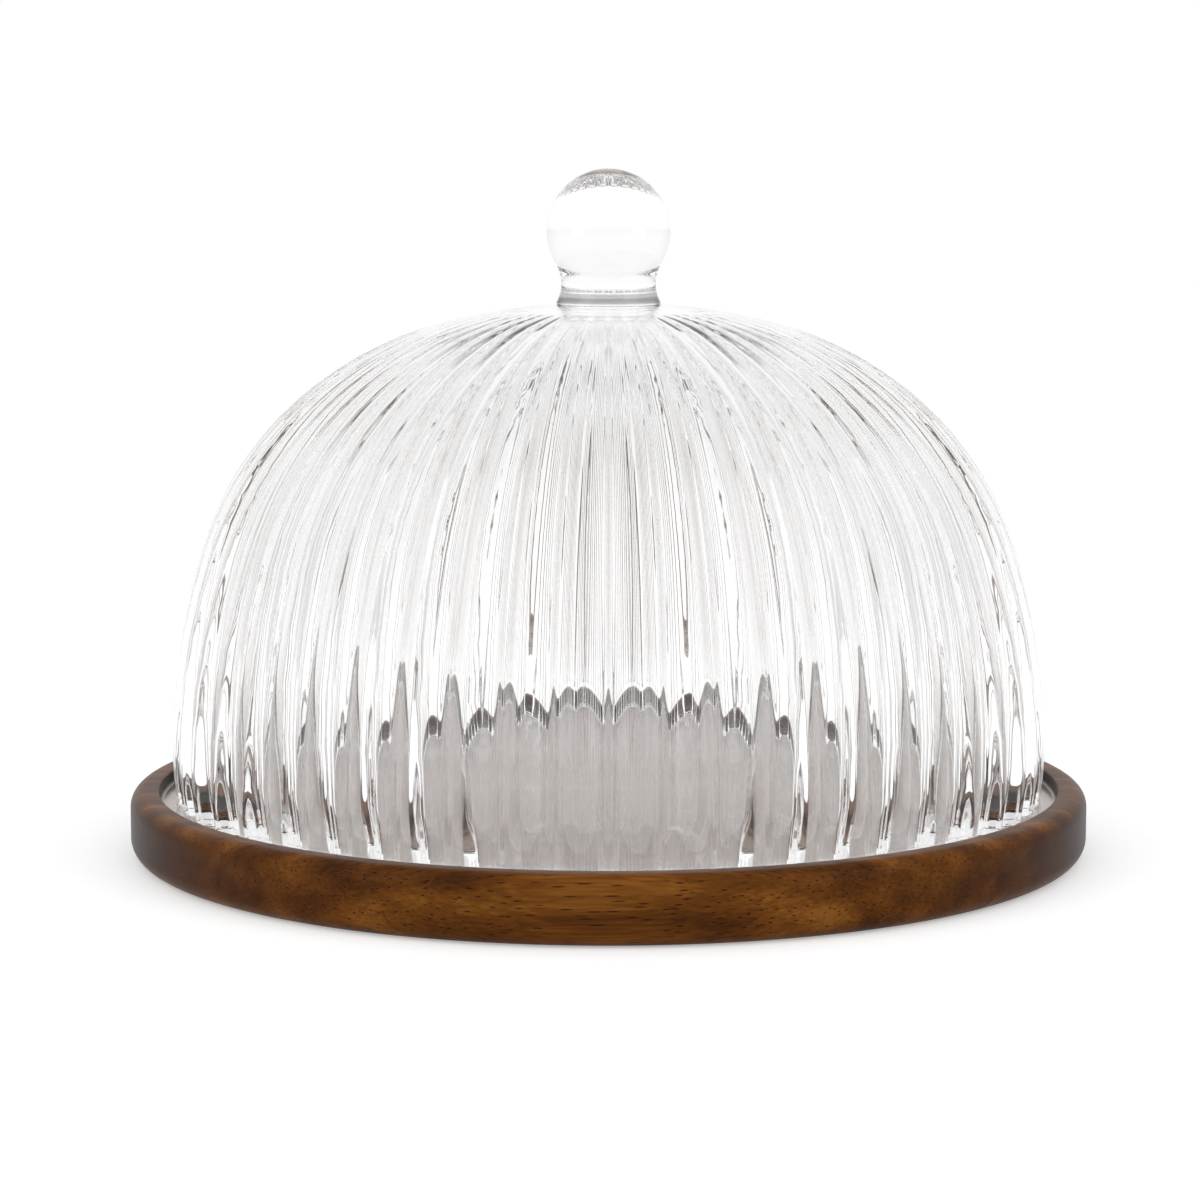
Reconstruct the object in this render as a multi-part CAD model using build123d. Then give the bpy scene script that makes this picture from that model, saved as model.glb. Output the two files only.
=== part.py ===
from build123d import *
import math
import os

# A fluted glass cheese dome on a round acacia board.
# Millimetres, +Z up, Z = 0 on the underside of the board, +X to the right, -Y to the front.

# ---- board
board_diameter = 300.0
board_thickness = 20.5
board_top_round = 4.8          # soft outer edge, upper
board_bottom_round = 6.2       # soft outer edge, lower
rim_width = 9.0                # flat rim round the recess, outer edge to recess wall
recess_depth = 4.0
recess_floor_round = 1.4       # cutter radius where wall meets floor
recess_lip_bevel = 0.7         # eased edge at the top of the recess wall
stave_count = 6                # edge-glued strips, grain along X

# ---- glass dome
seat_clearance = 4.1           # widest part of the dome to the recess wall
widest_height = 15.6           # widest ring above the seat
low_arc_radius = 80.0          # tuck-in below the widest ring
side_arc_radius = 205.0
shoulder_arc_radius = 102.0
upper_arc_radius = 122.0
side_arc_end = 18.5            # degrees from level where each arc hands on to the next
shoulder_arc_end = 60.5
upper_arc_end = 79.3
glass_wall = 5.0               # at a flute crest
flute_count = 52
flute_depth = 4.4              # outside, crest to valley
flute_flank = 2.0              # pull of the outer flank: low for broad crests, narrow valleys
inner_flute_depth = 1.2        # the plunger's shallow flutes, behind those outside
inner_flute_flank = 1.9        # pull of the inner flank: high for narrow crests
flute_full_radius = 125.0      # flutes have full depth outside this radius
flute_end_radius = 26.0        # and have run out by this one
plunger_flat_radius = 12.0     # flat tip of the plunger, under the knob

# ---- glass knob
knob_foot_radius = 16.2
knob_foot_wall = 0.8           # upright band at the joint
knob_neck_radius = 14.7
knob_neck_height = 6.4         # narrowest ring above the joint
knob_ball_radius = 19.35
knob_ball_height = 22.6        # centre of the ball above the joint

# ---- worked out from the values above
board_radius = board_diameter / 2
recess_radius = board_radius - rim_width
seat_z = board_thickness - recess_depth
dome_radius = recess_radius - seat_clearance
widest_z = seat_z + widest_height
stave_width = board_diameter / stave_count
base_angle = -math.degrees(math.asin(widest_height / low_arc_radius))
half_flute = 180 / flute_count
outer_flute = [0, 0, 0, flute_flank, flute_depth, flute_depth]
inner_flute = [0, 0, inner_flute_flank, inner_flute_flank, inner_flute_depth, inner_flute_depth]


def on_circle(center, radius, degrees):
    angle = math.radians(degrees)
    return (center[0] + radius * math.cos(angle), center[1] + radius * math.sin(angle))


def shifted_center(center, radius, degrees, next_radius):
    """Centre of the arc that carries on smoothly from the one before it."""
    return on_circle(on_circle(center, radius, degrees), -next_radius, degrees)


def dome_arcs():
    """The outline as (centre, radius, first angle, last angle), base to crown."""
    low = (dome_radius - low_arc_radius, widest_z)
    side = (dome_radius - side_arc_radius, widest_z)
    shoulder = shifted_center(side, side_arc_radius, side_arc_end, shoulder_arc_radius)
    upper = shifted_center(shoulder, shoulder_arc_radius, shoulder_arc_end, upper_arc_radius)
    crown_start = on_circle(upper, upper_arc_radius, upper_arc_end)
    crown_radius = crown_start[0] / math.cos(math.radians(upper_arc_end))
    crown = shifted_center(upper, upper_arc_radius, upper_arc_end, crown_radius)
    crown_end = math.degrees(math.acos(knob_foot_radius / crown_radius))
    return [
        (low, low_arc_radius, base_angle, 0.0),
        (side, side_arc_radius, 0.0, side_arc_end),
        (shoulder, shoulder_arc_radius, side_arc_end, shoulder_arc_end),
        (upper, upper_arc_radius, shoulder_arc_end, upper_arc_end),
        (crown, crown_radius, upper_arc_end, crown_end),
    ]


def dome_point(degrees, inset=0.0):
    """Radius and height of the outline, moved in by inset, where its normal has this angle."""
    for center, radius, first, last in dome_arcs():
        if degrees <= last:
            break
    return on_circle(center, radius - inset, degrees)


crown_center, crown_radius, crown_first, crown_last = dome_arcs()[-1]
joint_z = dome_point(crown_last)[1]
# normals at which a level ring is drawn, degrees above level
side_angles = [0.0, 8.0, side_arc_end, 29.0, 39.5, 50.0, shoulder_arc_end, 70.0]


def fade(radius):
    """1 on the sides of the dome, easing to 0 where the flutes run out."""
    span = (radius - flute_end_radius) / (flute_full_radius - flute_end_radius)
    span = min(max(span, 0.0), 1.0)
    return span * span * (3 - 2 * span)


def flute_ring(crest_radius, height, insets):
    """One level ring of fluted glass: half flutes, each a curve from crest to valley or back.

    The insets are those of the curve's evenly spaced poles, from crest to valley.
    """
    share = fade(crest_radius)
    last = len(insets) - 1
    halves = []
    for half in range(2 * flute_count):
        falling = half % 2 == 0
        poles = []
        for step, inset in enumerate(insets if falling else reversed(insets)):
            # a valley faces the front
            bearing = (half - 1 + step / last) * half_flute - 90
            poles.append(Vector(*on_circle((0, 0), crest_radius - inset * share, bearing), height))
        halves.append(Edge.make_bezier(*poles))
    return Wire(halves)


def dome_outside():
    low_angles = [base_angle, base_angle / 2]
    crown_angles = [upper_arc_end, (upper_arc_end + crown_last) / 2, crown_last]
    spots = [dome_point(angle) for angle in low_angles + side_angles + crown_angles]
    return Solid.make_loft([flute_ring(*spot, outer_flute) for spot in spots])


def dome_inside():
    """The plunger: the dome's hollow, carried on a little below the seat."""
    tip_angle = math.degrees(math.acos(plunger_flat_radius / (crown_radius - glass_wall)))
    crown_angles = [upper_arc_end, (upper_arc_end + tip_angle) / 2, tip_angle]
    spots = [dome_point(angle, glass_wall) for angle in side_angles + crown_angles]
    mouth_radius = dome_point(base_angle, glass_wall)[0]
    below = [(mouth_radius, seat_z - 1), (mouth_radius, seat_z + 1)]
    tuck = [dome_point(base_angle / 2, glass_wall)]
    rings = [flute_ring(*spot, inner_flute) for spot in below + tuck + spots]
    return Solid.make_loft(rings)


def glass_dome():
    return dome_outside() - dome_inside()


def glass_knob():
    drop = knob_ball_height - knob_neck_height
    reach = knob_neck_radius**2 + drop**2 - knob_ball_radius**2
    neck_arc = reach / (2 * (knob_ball_radius - knob_neck_radius))
    neck_x = knob_neck_radius + neck_arc
    neck = (neck_x, joint_z + knob_neck_height)
    ball = (0.0, joint_z + knob_ball_height)
    tangent = math.degrees(math.atan2(neck[1] - ball[1], neck[0]))
    band_top = joint_z + knob_foot_wall
    foot_angle = 180 - math.degrees(math.asin((band_top - neck[1]) / neck_arc))
    foot = on_circle(neck, neck_arc, foot_angle)
    join_angle = 180 + tangent
    neck_mid = on_circle(neck, neck_arc, (foot_angle + join_angle) / 2)
    join = on_circle(ball, knob_ball_radius, tangent)
    ball_mid = on_circle(ball, knob_ball_radius, (tangent + 90) / 2)
    crown = on_circle(ball, knob_ball_radius, 90)
    outline = Curve() + [
        Polyline(crown, (0, joint_z), (foot[0], joint_z), foot),
        ThreePointArc(foot, neck_mid, join),
        ThreePointArc(join, ball_mid, crown),
    ]
    return revolve(make_face(Plane.XZ * outline), Axis.Z)


def board_disc():
    """The whole turned board, before it is parted into its staves."""
    block = Cylinder(board_radius, board_thickness, align=(Align.CENTER, Align.CENTER, Align.MIN))
    pocket = Pos(0, 0, seat_z) * Cylinder(
        recess_radius, board_thickness, align=(Align.CENTER, Align.CENTER, Align.MIN)
    )
    turned = block - pocket
    rings = turned.edges().filter_by(GeomType.CIRCLE)

    def ring(radius, height):
        near = [e for e in rings if abs(e.radius - radius) < 0.01]
        return [e for e in near if abs(e.center().Z - height) < 0.01]

    turned = fillet(ring(board_radius, 0), board_bottom_round)
    rings = turned.edges().filter_by(GeomType.CIRCLE)
    turned = fillet(ring(board_radius, board_thickness), board_top_round)
    rings = turned.edges().filter_by(GeomType.CIRCLE)
    turned = fillet(ring(recess_radius, seat_z), recess_floor_round)
    rings = turned.edges().filter_by(GeomType.CIRCLE)
    turned = chamfer(ring(recess_radius, board_thickness), recess_lip_bevel)
    # quarter turn, so that the seam of the turned faces lies inside a stave and not on a glue line
    return Rot(0, 0, 90) * turned


def board_stave(disc, index):
    """One glued strip of the board, parted from the turned disc by its two glue lines."""
    front = stave_width * index - board_radius
    stave = disc
    if index > 0:
        glue_line = Plane((0, front, 0), z_dir=(0, 1, 0))
        stave = split(stave, glue_line, keep=Keep.TOP)
    if index < stave_count - 1:
        glue_line = Plane((0, front + stave_width, 0), z_dir=(0, 1, 0))
        stave = split(stave, glue_line, keep=Keep.BOTTOM)
    return stave


os.makedirs("parts", exist_ok=True)
disc = board_disc()
parts = {f"board_stave_{i + 1}": board_stave(disc, i) for i in range(stave_count)}
parts["glass_dome"] = glass_dome()
parts["glass_knob"] = glass_knob()
for name, shape in parts.items():
    export_step(shape, f"parts/{name}.step")
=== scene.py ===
import math

import bmesh
import bpy
from mathutils import Matrix, Vector


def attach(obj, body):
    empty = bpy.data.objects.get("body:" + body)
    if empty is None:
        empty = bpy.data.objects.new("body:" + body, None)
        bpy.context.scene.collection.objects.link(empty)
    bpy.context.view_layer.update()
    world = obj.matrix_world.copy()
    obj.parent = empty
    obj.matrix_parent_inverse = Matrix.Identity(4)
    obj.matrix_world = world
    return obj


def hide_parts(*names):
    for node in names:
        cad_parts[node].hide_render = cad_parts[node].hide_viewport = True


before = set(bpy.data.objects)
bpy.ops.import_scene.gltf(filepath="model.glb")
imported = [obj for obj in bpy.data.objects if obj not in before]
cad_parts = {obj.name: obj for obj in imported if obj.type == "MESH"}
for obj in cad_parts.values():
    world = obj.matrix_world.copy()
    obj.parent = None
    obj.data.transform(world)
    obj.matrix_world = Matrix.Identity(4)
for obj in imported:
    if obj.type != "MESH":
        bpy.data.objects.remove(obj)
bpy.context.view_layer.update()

# A fluted glass cheese dome on a round acacia board.
# Sizes of the object are in millimetres and become metres as the points are placed.

MM = 0.001
MERGE = 0.002 * MM             # points closer than this are one point

# ---------------------------------------------------------------- the board's sizes

BOARD_RADIUS = 150.0
BOARD_THICKNESS = 20.5
BOARD_TOP_ROUND = 4.8
BOARD_BOTTOM_ROUND = 6.2
RIM_WIDTH = 9.0                # flat rim round the recess
RECESS_DEPTH = 4.0
RECESS_FLOOR_ROUND = 1.4
RECESS_LIP_BEVEL = 0.7
RECESS_RADIUS = BOARD_RADIUS - RIM_WIDTH
RECESS_FLOOR = BOARD_THICKNESS - RECESS_DEPTH
STAVES = 6                     # edge-glued strips, grain along X
STAVE_WIDTH = 2 * BOARD_RADIUS / STAVES
BOARD_FACETS = 360

# ---------------------------------------------------------------- the dome's sizes

SEAT_CLEARANCE = 4.1           # widest part of the dome to the recess wall
DOME_RADIUS = RECESS_RADIUS - SEAT_CLEARANCE
WIDEST_HEIGHT = 15.6           # widest ring above the recess floor
SEAT_GAP = 0.05                # hairline between glass and wood
LOW_ARC = 80.0
SIDE_ARC = 205.0
SHOULDER_ARC = 102.0
UPPER_ARC = 122.0
SIDE_END = 18.5                # degrees from level where each arc hands on
SHOULDER_END = 60.5
UPPER_END = 79.3
WALL = 4.0                     # at a flute crest under the crown
SEAT_THICKENING = 6.0          # extra wall at the seat, easing to none at the crown
OUTER_LIP_ROUND = 1.0
OUTER_LIP_TURN = 0.75          # degrees of the low arc that the round takes
INNER_LIP_ROUND = 0.9
INNER_LIP_TURN = 1.0
INNER_LIP_DRAFT = 0.1
FLUTES = 52
FLUTE_DEPTH = 4.4              # outside, crest to valley
FLUTE_FLANK = 2.0              # low pull: broad crests, narrow valleys
INNER_FLUTE_DEPTH = 1.2
INNER_FLUTE_FLANK = 1.9
FLUTE_STEPS = 30               # facets across one flute
VALLEY_CROWDING = 0.5          # how far those facets are drawn towards the tight valley
FLUTE_FULL_RADIUS = 125.0
FLUTE_END_RADIUS = 26.0
PLUNGER_FLAT_RADIUS = 12.0     # flat under the knob, inside
OUTER_STEPS = (2, 5, 10, 5, 6)  # facets up each arc, base to crown
INNER_STEPS = (1, 4, 8, 4, 5)

# insets of each half flute's evenly spaced poles, from crest to valley
OUTER_FLUTE = (0, 0, 0, FLUTE_FLANK, FLUTE_DEPTH, FLUTE_DEPTH)
INNER_FLUTE = (0, 0, INNER_FLUTE_FLANK, INNER_FLUTE_FLANK, INNER_FLUTE_DEPTH, INNER_FLUTE_DEPTH)

# ---------------------------------------------------------------- the knob's sizes

FOOT_RADIUS = 16.2
FOOT_BAND = 0.8
FOOT_EDGE_ROUND = 0.3
NECK_RADIUS = 14.7
NECK_HEIGHT = 6.4
BALL_RADIUS = 19.35
BALL_HEIGHT = 22.6
JOINT_SINK = 0.03              # the foot sits this far in the crown, as where hot glass joins
KNOB_FACETS = 144

# ---------------------------------------------------------------- acacia, sizes in millimetres

BAND_WIDTH = 9.0               # growth bands on a flat-sawn strip
BAND_STRETCH = 0.06            # width to length along the grain
FIBRE_WIDTH = 0.9
FIBRE_STRETCH = 0.04
FIBRE_SHARE = 0.35             # of the figure; bands are the rest
PORE_WIDTH = 0.4               # a quarter millimetre in the wood, drawn wider so that they show
PORE_SPACING = 2.6             # in pore widths
PORE_STRETCH = 0.09
PORE_CORE = 0.14               # in pore spacings, where a pore's full dark ends
PORE_EDGE = 0.26               # and where it has faded out
PORE_DARKNESS = 0.85
GRAIN_RELIEF = 0.05
RELIEF_STRENGTH = 0.2
END_GRAIN_TONE = 0.42          # the figure's even tone on end grain
END_GRAIN_ONSET = 3.0          # high: only where the edge squarely faces along the grain
# places along the figure and the oiled colours there, walnut to golden
BAND_TONES = ((0.32, "#3C1F08"), (0.44, "#562F0B"), (0.54, "#693D11"), (0.66, "#85531F"))
END_GRAIN_OIL = "#583A2B"      # multiplies the tone where the grain drinks more oil
PORE_BROWN = "#1E0E04"
# pale tone mixed into the recess floor's colour: painted sheen standing in for the film's
# reflection
PAINTED_SHEEN_COLOUR = "#B4875E"
EDGE_ROUGHNESS = 0.35
FLOOR_ROUGHNESS = 0.16
FLOOR_PAINTED_SHEEN = 0.18          # share of pale colour mixed into the recess floor, a painted sheen

# ---------------------------------------------------------------- the studio, metres

FLOOR_HALF_WIDTH = 4.0
FLOOR_GLOW = 0.35
ROOM_LEVEL = 0.85              # plain light on the object
FRONT_LEVEL = 0.7              # the dim front of the room, as glass and gloss show it
ROOM_TURN = (-0.2, 0.8)        # backward slant over which the room turns from dim to white
SOFTBOX_ASIDE = 1.3
SOFTBOX_AHEAD = 0.8
SOFTBOX_HEIGHT = 0.8
SOFTBOX_TARGET = Vector((0, 0, 0.1))
SOFTBOX_SIZE = (0.9, 2.0)
SOFTBOX_POWER = 6

CAMERA_DISTANCE = 1.080        # in front of the upright axis
CAMERA_HEIGHT = 0.2147
CAMERA_PITCH = 0.126           # radians down
SENSOR = 36.0
FRAME_PIXELS = 1200
FOCAL_PIXELS = 3461.3
AXIS_PIXEL = 608.5             # across the frame, where the upright axis stands
GLASS_BOUNCES = 32             # enough for both walls, near and far, and what they mirror
GLOSS_BOUNCES = 16


# ---------------------------------------------------------------- turning


def on_circle(center, radius, degrees):
    """Radius and height of a point of the section, at this angle from level."""
    angle = math.radians(degrees)
    return Vector((center.x + radius * math.cos(angle), 0, center.z + radius * math.sin(angle)))


class Section:
    """A lathe profile in the XZ plane, drawn from point to point."""

    def __init__(self, start):
        self.mesh = bmesh.new()
        self.outside = self.mesh.verts.layers.int.new("outside")
        self.drawing_outside = 0
        self.tip = self.mesh.verts.new(start * MM)

    def line(self, end, steps=1):
        start = self.tip.co.copy()
        for step in range(1, steps + 1):
            grown = bmesh.ops.extrude_vert_indiv(self.mesh, verts=[self.tip])
            self.tip = grown["verts"][0]
            self.tip.co = start.lerp(end * MM, step / steps)
            self.tip[self.outside] = self.drawing_outside

    def arc(self, center, degrees, steps):
        """Carries the tip round a centre; positive turns from level towards the crown."""
        before = set(self.mesh.verts)
        swept = bmesh.ops.spin(
            self.mesh, geom=[self.tip], cent=center * MM, axis=(0, -1, 0),
            angle=math.radians(degrees), steps=steps, use_merge=False, use_duplicate=False)
        for vert in set(self.mesh.verts) - before:
            vert[self.outside] = self.drawing_outside
        ends = [item for item in swept["geom_last"] if isinstance(item, bmesh.types.BMVert)]
        self.tip = ends[0]

    def turned(self, steps):
        """The profile turned a full round about the upright axis."""
        mesh = self.mesh
        bmesh.ops.spin(
            mesh, geom=mesh.verts[:] + mesh.edges[:], cent=(0, 0, 0), axis=(0, 0, 1),
            angle=2 * math.pi, steps=steps, use_merge=True, use_duplicate=False)
        return closed(mesh)

    def turned_sector(self, steps, repeats):
        """The profile turned through one of so many equal sectors, still open."""
        mesh = self.mesh
        bmesh.ops.spin(
            mesh, geom=mesh.verts[:] + mesh.edges[:], cent=(0, 0, 0), axis=(0, 0, 1),
            angle=2 * math.pi / repeats, steps=steps, use_merge=False, use_duplicate=False)
        return mesh


def closed(mesh):
    """Seams and poles merged, and every face turned outwards."""
    bmesh.ops.remove_doubles(mesh, verts=mesh.verts, dist=MERGE)
    bmesh.ops.recalc_face_normals(mesh, faces=mesh.faces)
    return mesh


def repeated_round(mesh, repeats):
    """One sector copied about the upright axis until it closes on itself."""
    bmesh.ops.spin(
        mesh, geom=mesh.verts[:] + mesh.edges[:] + mesh.faces[:], cent=(0, 0, 0), axis=(0, 0, 1),
        angle=2 * math.pi * (repeats - 1) / repeats, steps=repeats - 1, use_duplicate=True)
    return closed(mesh)


def finished(mesh, name, body, node, material, crease=40.0):
    """Puts a mesh into the scene as a piece that rides a body and stands for a CAD node. Edges
    that turn by more than the crease, in degrees, stay sharp."""
    data = bpy.data.meshes.new(name)
    mesh.to_mesh(data)
    mesh.free()
    data.shade_smooth()
    data.set_sharp_from_angle(angle=math.radians(crease))
    data.materials.append(material)
    piece = bpy.data.objects.new(name, data)
    bpy.context.collection.objects.link(piece)
    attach(piece, body)
    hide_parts(node)


# ---------------------------------------------------------------- material helpers


def linear(code):
    """An sRGB hex colour as linear red, green, blue and alpha."""
    parts = [int(code[i:i + 2], 16) / 255 for i in (1, 3, 5)]
    return [c / 12.92 if c <= 0.04045 else ((c + 0.055) / 1.055) ** 2.4 for c in parts] + [1.0]


def add(tree, kind, settings=None, inputs=None, links=None):
    """Adds one node: its properties, its plain input values, and its links by socket."""
    node = tree.nodes.new(kind)
    for key, value in (settings or {}).items():
        setattr(node, key, value)
    for key, value in (inputs or {}).items():
        node.inputs[key].default_value = value
    for key, source in (links or {}).items():
        tree.links.new(source, node.inputs[key])
    return node


def new_material(name):
    """A new material, with its node tree and its shader."""
    material = bpy.data.materials.new(name)
    material.use_nodes = True
    tree = material.node_tree
    return material, tree, tree.nodes["Principled BSDF"]


# ---------------------------------------------------------------- glass


def clear_pressed_glass():
    """Soda-lime glass pressed in a fluted mould and fire-polished: colourless, clear and hard, so
    that all its life comes from what the flutes bend and mirror."""
    material, _, shader = new_material("clear_pressed_glass")
    shader.inputs["Transmission Weight"].default_value = 1.0
    shader.inputs["Base Color"].default_value = linear("#FEFEFE")
    shader.inputs["Roughness"].default_value = 0.0
    shader.inputs["IOR"].default_value = 1.52
    return material


# ---------------------------------------------------------------- wood


def grain_tone(tree, plank, fibres):
    """Golden to walnut bands along the tree. End grain, where the turned edge faces along it,
    drinks more oil, and is darker and more even."""
    along = add(tree, "ShaderNodeMapping", inputs={"Scale": (BAND_STRETCH, 1, 1)},
                links={"Vector": plank.outputs["Vector"]})
    bands = add(tree, "ShaderNodeTexNoise",
                inputs={"Scale": 1 / (BAND_WIDTH * MM), "Detail": 1.0, "Roughness": 0.5,
                        "Distortion": 0.2},
                links={"Vector": along.outputs["Vector"]})
    figure = add(tree, "ShaderNodeMix", {"data_type": "FLOAT"}, {0: FIBRE_SHARE},
                 {2: bands.outputs["Fac"], 3: fibres.outputs["Fac"]})
    facing = add(tree, "ShaderNodeNewGeometry")
    slant = add(tree, "ShaderNodeSeparateXYZ", links={"Vector": facing.outputs["Normal"]})
    steepness = add(tree, "ShaderNodeMath", {"operation": "ABSOLUTE"},
                    links={0: slant.outputs["X"]})
    end_grain = add(tree, "ShaderNodeMath", {"operation": "POWER"}, {1: END_GRAIN_ONSET},
                    {0: steepness.outputs["Value"]})
    calm = add(tree, "ShaderNodeMix", {"data_type": "FLOAT"}, {3: END_GRAIN_TONE},
               {0: end_grain.outputs["Value"], 2: figure.outputs[0]})
    tones = add(tree, "ShaderNodeValToRGB", links={"Fac": calm.outputs[0]})
    bar = tones.color_ramp.elements
    while len(bar) < len(BAND_TONES):
        bar.new(0.5)
    for element, (place, code) in zip(bar, BAND_TONES):
        element.position = place
        element.color = linear(code)
    return add(tree, "ShaderNodeMix", {"data_type": "RGBA", "blend_type": "MULTIPLY"},
               {7: linear(END_GRAIN_OIL)},
               {0: end_grain.outputs["Value"], 6: tones.outputs["Color"]})


def pore_mask(tree, plank):
    """1 in the pores, short dark dashes along the grain."""
    along = add(tree, "ShaderNodeMapping", inputs={"Scale": (PORE_STRETCH, 1, 1)},
                links={"Vector": plank.outputs["Vector"]})
    cells = add(tree, "ShaderNodeTexVoronoi", {"feature": "F1"},
                {"Scale": 1 / (PORE_SPACING * PORE_WIDTH * MM), "Randomness": 1.0},
                {"Vector": along.outputs["Vector"]})
    return add(tree, "ShaderNodeMapRange",
               inputs={"From Min": PORE_CORE, "From Max": PORE_EDGE, "To Min": 1.0, "To Max": 0.0},
               links={"Value": cells.outputs["Distance"]})


def recess_mask(tree, where):
    """1 on the recess floor and 0 outside it, by distance from the upright axis."""
    level = add(tree, "ShaderNodeMapping", inputs={"Scale": (1, 1, 0)},
                links={"Vector": where.outputs["Object"]})
    reach = add(tree, "ShaderNodeVectorMath", {"operation": "LENGTH"},
                links={0: level.outputs["Vector"]})
    return add(tree, "ShaderNodeMapRange",
               inputs={"From Min": (RECESS_RADIUS - RECESS_FLOOR_ROUND) * MM,
                       "From Max": RECESS_RADIUS * MM, "To Min": 1.0, "To Max": 0.0},
               links={"Value": reach.outputs["Value"]})


def oiled_acacia(index):
    """Acacia, edge-glued, turned, sanded and oiled: golden to walnut brown along the grain, darker
    on the end grain, with fine dark pores and a satin skin that pales at a low angle. The recess
    floor has a pale painted sheen mixed into its colour, under a smooth film that shines more."""
    material, tree, shader = new_material(f"oiled_acacia_{index + 1}")
    where = add(tree, "ShaderNodeTexCoord")
    # each stave is its own plank: shifted far along the tree and rolled about its grain
    shift = (0.31 * index, 0.17 * index + 0.05, 0.23 * index)
    roll = (math.radians(25 + 47 * index), 0, math.radians(1.5 - index))
    plank = add(tree, "ShaderNodeMapping", inputs={"Location": shift, "Rotation": roll},
                links={"Vector": where.outputs["Object"]})
    along = add(tree, "ShaderNodeMapping", inputs={"Scale": (FIBRE_STRETCH, 1, 1)},
                links={"Vector": plank.outputs["Vector"]})
    fibres = add(tree, "ShaderNodeTexNoise",
                 inputs={"Scale": 1 / (FIBRE_WIDTH * MM), "Detail": 3.0, "Roughness": 0.6},
                 links={"Vector": along.outputs["Vector"]})
    tone = grain_tone(tree, plank, fibres)
    pores = pore_mask(tree, plank)
    darkness = add(tree, "ShaderNodeMath", {"operation": "MULTIPLY"}, {1: PORE_DARKNESS},
                   {0: pores.outputs["Result"]})
    pored = add(tree, "ShaderNodeMix", {"data_type": "RGBA", "blend_type": "MIX"},
                {7: linear(PORE_BROWN)}, {0: darkness.outputs["Value"], 6: tone.outputs[2]})
    floor = recess_mask(tree, where)
    # painted sheen: the recess floor's colour is lightened towards a pale tone
    painted_sheen = add(tree, "ShaderNodeMath", {"operation": "MULTIPLY"}, {1: FLOOR_PAINTED_SHEEN},
                   {0: floor.outputs["Result"]})
    sheened = add(tree, "ShaderNodeMix", {"data_type": "RGBA", "blend_type": "MIX"},
                {7: linear(PAINTED_SHEEN_COLOUR)}, {0: painted_sheen.outputs["Value"], 6: pored.outputs[2]})
    satin = add(tree, "ShaderNodeMapRange",
                inputs={"To Min": EDGE_ROUGHNESS, "To Max": FLOOR_ROUGHNESS},
                links={"Value": floor.outputs["Result"]})
    relief = add(tree, "ShaderNodeMath", {"operation": "SUBTRACT"},
                 links={0: fibres.outputs["Fac"], 1: pores.outputs["Result"]})
    bump = add(tree, "ShaderNodeBump",
               inputs={"Strength": RELIEF_STRENGTH, "Distance": GRAIN_RELIEF * MM},
               links={"Height": relief.outputs["Value"]})
    tree.links.new(sheened.outputs[2], shader.inputs["Base Color"])
    tree.links.new(satin.outputs["Result"], shader.inputs["Roughness"])
    tree.links.new(floor.outputs["Result"], shader.inputs["Coat Weight"])
    tree.links.new(bump.outputs["Normal"], shader.inputs["Normal"])
    shader.inputs["Specular IOR Level"].default_value = 0.05
    shader.inputs["Coat Roughness"].default_value = 0.18
    return material


# ---------------------------------------------------------------- the board


def turned_board():
    """The whole board off the lathe, from the middle of its underside round to the recess."""
    section = Section(Vector((0, 0, 0)))
    section.line(Vector((BOARD_RADIUS - BOARD_BOTTOM_ROUND, 0, 0)))
    section.arc(Vector((BOARD_RADIUS - BOARD_BOTTOM_ROUND, 0, BOARD_BOTTOM_ROUND)), 90, steps=10)
    shoulder = BOARD_THICKNESS - BOARD_TOP_ROUND
    section.line(Vector((BOARD_RADIUS, 0, shoulder)), steps=2)
    section.arc(Vector((BOARD_RADIUS - BOARD_TOP_ROUND, 0, shoulder)), 90, steps=10)
    lip = RECESS_RADIUS + RECESS_LIP_BEVEL
    section.line(Vector((lip, 0, BOARD_THICKNESS)), steps=2)
    section.arc(Vector((lip, 0, BOARD_THICKNESS - RECESS_LIP_BEVEL)), 90, steps=4)
    corner = Vector((RECESS_RADIUS - RECESS_FLOOR_ROUND, 0, RECESS_FLOOR + RECESS_FLOOR_ROUND))
    section.line(Vector((RECESS_RADIUS, 0, corner.z)))
    section.arc(corner, -90, steps=5)
    section.line(Vector((0, 0, RECESS_FLOOR)))
    return section.turned(BOARD_FACETS)


def board_staves():
    """The turned board parted along its glue lines, front to back."""
    whole = turned_board()
    for index in range(STAVES):
        mesh = whole.copy()
        for line, keep_side in ((index, -1), (index + 1, 1)):
            if line in (0, STAVES):
                continue
            glue_line = Vector((0, STAVE_WIDTH * line - BOARD_RADIUS, 0)) * MM
            cut = bmesh.ops.bisect_plane(
                mesh, geom=mesh.verts[:] + mesh.edges[:] + mesh.faces[:], dist=MERGE,
                plane_co=glue_line, plane_no=(0, keep_side, 0),
                clear_outer=True, clear_inner=False)
            rim = [item for item in cut["geom_cut"] if isinstance(item, bmesh.types.BMEdge)]
            bmesh.ops.triangle_fill(mesh, use_beauty=True, use_dissolve=False, edges=rim)
        bmesh.ops.recalc_face_normals(mesh, faces=mesh.faces)
        finished(mesh, f"acacia_stave_{index + 1}", "board", f"board_stave_{index + 1}",
                 oiled_acacia(index))
    whole.free()


# ---------------------------------------------------------------- the dome


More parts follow.
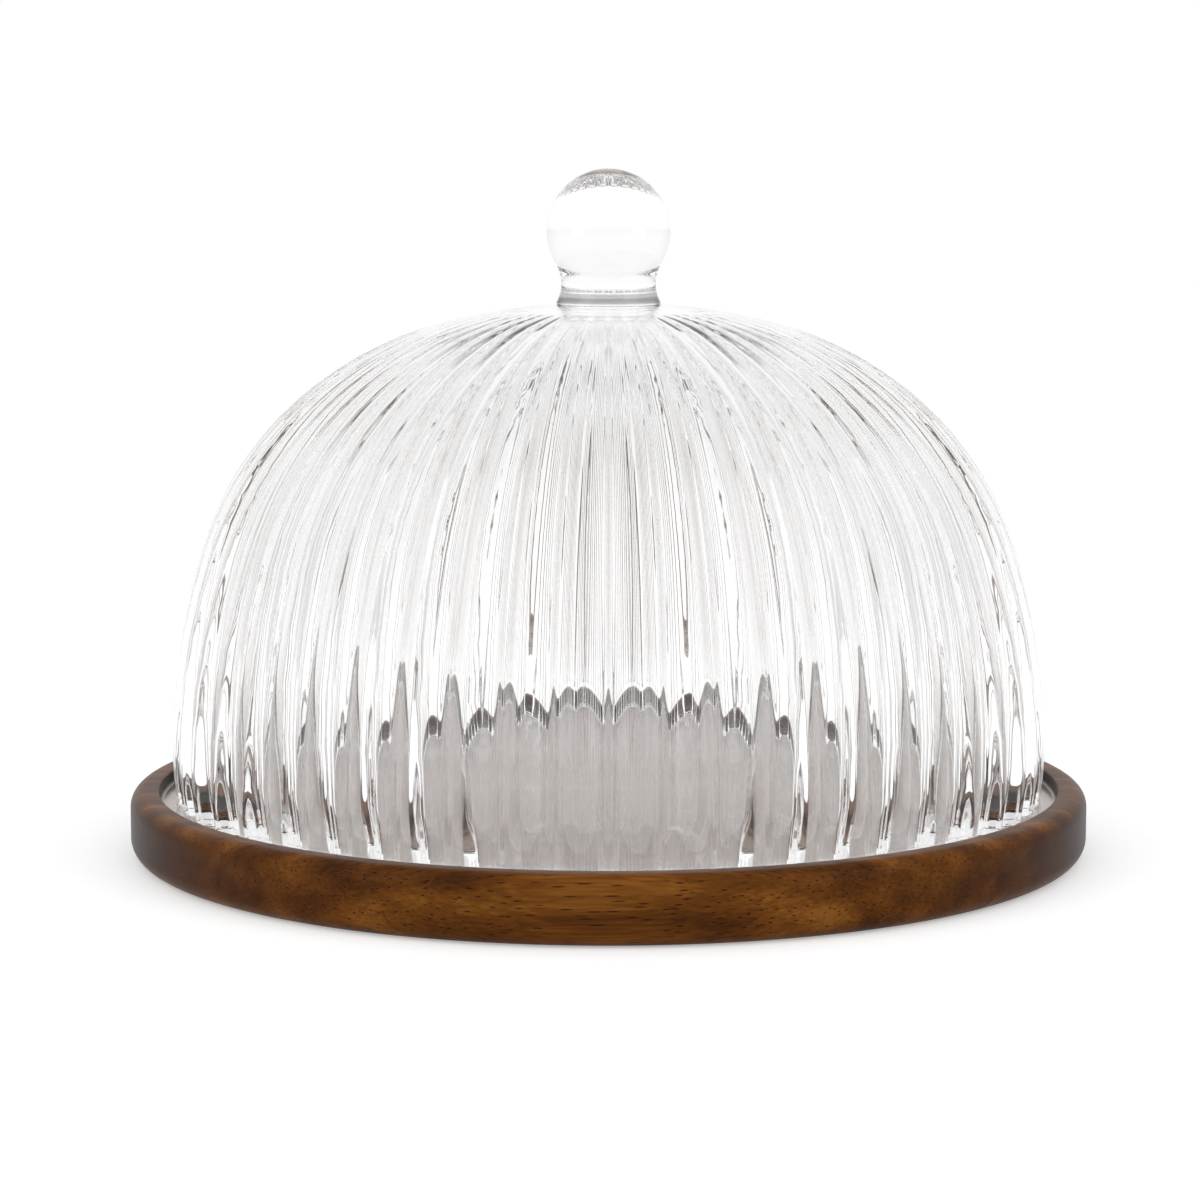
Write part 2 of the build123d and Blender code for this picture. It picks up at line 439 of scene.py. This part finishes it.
def dome_arcs():
    """The outside of the dome as (centre, radius, first angle, last angle), base to crown."""
    base = -math.degrees(math.asin(WIDEST_HEIGHT / LOW_ARC))
    widest = RECESS_FLOOR + WIDEST_HEIGHT
    low = Vector((DOME_RADIUS - LOW_ARC, 0, widest))
    side = Vector((DOME_RADIUS - SIDE_ARC, 0, widest))
    shoulder = on_circle(on_circle(side, SIDE_ARC, SIDE_END), -SHOULDER_ARC, SIDE_END)
    upper = on_circle(on_circle(shoulder, SHOULDER_ARC, SHOULDER_END), -UPPER_ARC, SHOULDER_END)
    crown_start = on_circle(upper, UPPER_ARC, UPPER_END)
    crown_arc = crown_start.x / math.cos(math.radians(UPPER_END))
    crown = on_circle(crown_start, -crown_arc, UPPER_END)
    crown_end = math.degrees(math.acos(FOOT_RADIUS / crown_arc))
    return [
        (low, LOW_ARC, base, 0.0),
        (side, SIDE_ARC, 0.0, SIDE_END),
        (shoulder, SHOULDER_ARC, SIDE_END, SHOULDER_END),
        (upper, UPPER_ARC, SHOULDER_END, UPPER_END),
        (crown, crown_arc, UPPER_END, crown_end),
    ]


ARCS = dome_arcs()
CROWN_CENTER, CROWN_ARC, _, CROWN_END = ARCS[-1]
JOINT_HEIGHT = on_circle(CROWN_CENTER, CROWN_ARC, CROWN_END).z


def dome_section():
    """The shell, drawn down the inside, round the fire-polished lip and up the outside."""
    rest = RECESS_FLOOR + SEAT_GAP
    tip_angle = math.degrees(math.acos(PLUNGER_FLAT_RADIUS / (CROWN_ARC - WALL)))
    tip = on_circle(CROWN_CENTER, CROWN_ARC - WALL, tip_angle)
    section = Section(Vector((0, 0, tip.z)))
    section.line(tip)
    for (center, _, first, last), steps in zip(reversed(ARCS), reversed(INNER_STEPS)):
        if center is CROWN_CENTER:
            last = tip_angle
        if first < 0:
            first += INNER_LIP_TURN
        section.arc(center, first - last, steps)
    inner = section.tip.co / MM
    lip_in = Vector((inner.x - INNER_LIP_DRAFT, 0, rest + INNER_LIP_ROUND))
    section.line(lip_in)
    section.arc(lip_in + Vector((INNER_LIP_ROUND, 0, 0)), 90, steps=4)
    section.drawing_outside = 1
    low_center, low_arc, base, _ = ARCS[0]
    low_end = on_circle(low_center, low_arc, base + OUTER_LIP_TURN)
    lip_out = low_end.x - OUTER_LIP_ROUND
    section.line(Vector((lip_out, 0, rest)))
    section.arc(Vector((lip_out, 0, rest + OUTER_LIP_ROUND)), 90, steps=5)
    for (center, radius, first, last), steps in zip(ARCS, OUTER_STEPS):
        if first < 0:
            first += OUTER_LIP_TURN
            section.line(on_circle(center, radius, first))
        section.arc(center, last - first, steps)
    section.line(Vector((0, 0, JOINT_HEIGHT)), steps=2)
    return section


def fade(radius):
    """1 on the sides of the dome, easing to 0 where the flutes run out under the crown."""
    span = (radius - FLUTE_END_RADIUS) / (FLUTE_FULL_RADIUS - FLUTE_END_RADIUS)
    span = min(max(span, 0.0), 1.0)
    return span * span * (3 - 2 * span)


def flute_inset(turn, poles):
    """How far in the glass lies at this turn from the front, where a valley faces."""
    from_valley = abs((FLUTES * turn / math.pi + 1) % 2 - 1)
    share = 1 - from_valley
    last = len(poles) - 1
    return sum(math.comb(last, step) * share**step * (1 - share) ** (last - step) * pole
               for step, pole in enumerate(poles))


def press_flutes(mesh, outside):
    """Draws the plain wall in to its flutes, and thickens it inside towards the seat."""
    for vert in mesh.verts:
        radius = math.hypot(vert.co.x, vert.co.y)
        if radius < FLUTE_END_RADIUS * MM:
            continue
        turn = math.atan2(vert.co.x, -vert.co.y)
        turn -= VALLEY_CROWDING * math.sin(FLUTES * turn) / FLUTES
        inset = flute_inset(turn, OUTER_FLUTE if vert[outside] else INNER_FLUTE)
        inset *= fade(radius / MM)
        if not vert[outside]:
            drop = (JOINT_HEIGHT - vert.co.z / MM) / (JOINT_HEIGHT - RECESS_FLOOR)
            inset += SEAT_THICKENING * drop**2
        reach = radius - inset * MM
        vert.co.xy = reach * math.sin(turn), -reach * math.cos(turn)


def glass_dome(material):
    """The fluted shell, pressed as one flute and repeated round."""
    section = dome_section()
    mesh = section.turned_sector(FLUTE_STEPS, FLUTES)
    press_flutes(mesh, mesh.verts.layers.int["outside"])
    mesh = repeated_round(mesh, FLUTES)
    finished(mesh, "fluted_glass_dome", "dome", "glass_dome", material)


# ---------------------------------------------------------------- the knob


def glass_knob(material):
    """The solid ball on its drawn-in neck and flared foot."""
    drop = BALL_HEIGHT - NECK_HEIGHT
    neck_arc = (NECK_RADIUS**2 + drop**2 - BALL_RADIUS**2) / (2 * (BALL_RADIUS - NECK_RADIUS))
    neck = Vector((NECK_RADIUS + neck_arc, 0, JOINT_HEIGHT + NECK_HEIGHT))
    ball = Vector((0, 0, JOINT_HEIGHT + BALL_HEIGHT))
    tangent = math.degrees(math.atan2(neck.z - ball.z, neck.x))
    foot_angle = 180 - math.degrees(math.asin((FOOT_BAND - NECK_HEIGHT) / neck_arc))
    foot = on_circle(neck, neck_arc, foot_angle)
    underside = JOINT_HEIGHT - JOINT_SINK
    edge = foot.x - FOOT_EDGE_ROUND
    section = Section(Vector((0, 0, underside)))
    section.line(Vector((edge, 0, underside)))
    section.arc(Vector((edge, 0, underside + FOOT_EDGE_ROUND)), 90, steps=3)
    section.line(foot)
    section.arc(neck, 180 + tangent - foot_angle, steps=12)
    section.arc(ball, 90 - tangent, steps=30)
    mesh = section.turned(KNOB_FACETS)
    finished(mesh, "glass_ball_knob", "dome", "glass_knob", material, crease=60)


# ---------------------------------------------------------------- the studio


def seen_by_eye_or_glass(tree, path):
    """1 where the camera, a mirror image or a view through glass meets the background."""
    direct = add(tree, "ShaderNodeMath", {"operation": "MAXIMUM"},
                 links={0: path.outputs["Is Camera Ray"], 1: path.outputs["Is Transmission Ray"]})
    return add(tree, "ShaderNodeMath", {"operation": "MAXIMUM"},
               links={0: direct.outputs["Value"], 1: path.outputs["Is Glossy Ray"]})


def pale_floor():
    """Matt white paper sweep: plain, and keeps the soft shadow of what stands on it."""
    material, tree, shader = new_material("matt_white_paper")
    seen = seen_by_eye_or_glass(tree, add(tree, "ShaderNodeLightPath"))
    glow = add(tree, "ShaderNodeMath", {"operation": "MULTIPLY"}, {1: FLOOR_GLOW},
               {0: seen.outputs["Value"]})
    tree.links.new(glow.outputs["Value"], shader.inputs["Emission Strength"])
    shader.inputs["Emission Color"].default_value = linear("#FFFFFF")
    shader.inputs["Base Color"].default_value = linear("#E6E6E6")
    shader.inputs["Roughness"].default_value = 0.9
    mesh = bmesh.new()
    bmesh.ops.create_grid(mesh, x_segments=1, y_segments=1, size=FLOOR_HALF_WIDTH)
    data = bpy.data.meshes.new("floor")
    mesh.to_mesh(data)
    mesh.free()
    data.materials.append(material)
    floor = bpy.data.objects.new("floor", data)
    bpy.context.collection.objects.link(floor)


def studio_world():
    """A plainly lit room. Glass and gloss see its back white and its front dimmer."""
    world = bpy.data.worlds.new("studio")
    bpy.context.scene.world = world
    world.use_nodes = True
    tree = world.node_tree
    paper = linear("#FFFFFF")
    plain = tree.nodes["Background"]
    plain.inputs["Color"].default_value = paper
    plain.inputs["Strength"].default_value = ROOM_LEVEL
    where = add(tree, "ShaderNodeTexCoord")
    parts = add(tree, "ShaderNodeSeparateXYZ", links={"Vector": where.outputs["Generated"]})
    level = add(tree, "ShaderNodeMapRange", {"interpolation_type": "SMOOTHSTEP"},
                {"From Min": ROOM_TURN[0], "From Max": ROOM_TURN[1],
                 "To Min": FRONT_LEVEL, "To Max": 1.0},
                {"Value": parts.outputs["Y"]})
    room = add(tree, "ShaderNodeBackground", inputs={"Color": paper},
               links={"Strength": level.outputs["Result"]})
    white = add(tree, "ShaderNodeBackground", inputs={"Color": paper, "Strength": 1.0})
    path = add(tree, "ShaderNodeLightPath")
    seen = seen_by_eye_or_glass(tree, path)
    lit = add(tree, "ShaderNodeMixShader", links={
        0: seen.outputs["Value"], 1: plain.outputs[0], 2: room.outputs[0]})
    shown = add(tree, "ShaderNodeMixShader", links={
        0: path.outputs["Is Camera Ray"], 1: lit.outputs[0], 2: white.outputs[0]})
    tree.links.new(shown.outputs[0], tree.nodes["World Output"].inputs["Surface"])


def softbox(name, side):
    """A tall soft lamp in front of the object, on its left (-1) or right (1)."""
    lamp = bpy.data.lights.new(name, "AREA")
    lamp.shape = "RECTANGLE"
    lamp.size, lamp.size_y = SOFTBOX_SIZE
    lamp.energy = SOFTBOX_POWER
    holder = bpy.data.objects.new(name, lamp)
    bpy.context.collection.objects.link(holder)
    place = Vector((side * SOFTBOX_ASIDE, -SOFTBOX_AHEAD, SOFTBOX_HEIGHT))
    turn = (place - SOFTBOX_TARGET).to_track_quat("Z", "Y")
    holder.matrix_world = Matrix.Translation(place) @ turn.to_matrix().to_4x4()


def front_camera():
    """A long lens in front of the object, looking a little down on it."""
    lens = bpy.data.cameras.new("camera")
    lens.sensor_width = SENSOR
    lens.lens = FOCAL_PIXELS / FRAME_PIXELS * SENSOR
    lens.shift_x = (FRAME_PIXELS / 2 - AXIS_PIXEL) / FRAME_PIXELS
    camera = bpy.data.objects.new("camera", lens)
    bpy.context.collection.objects.link(camera)
    camera.location = (0, -CAMERA_DISTANCE, CAMERA_HEIGHT)
    camera.rotation_euler = (math.pi / 2 - CAMERA_PITCH, 0, 0)
    bpy.context.scene.camera = camera


studio_world()
pale_floor()
softbox("softbox_left", -1)
softbox("softbox_right", 1)
front_camera()

board_staves()
glass = clear_pressed_glass()
glass_dome(glass)
glass_knob(glass)

scene = bpy.context.scene
scene.view_settings.view_transform = "Standard"
scene.cycles.max_bounces = GLASS_BOUNCES
scene.cycles.transmission_bounces = GLASS_BOUNCES
scene.cycles.glossy_bounces = GLOSS_BOUNCES
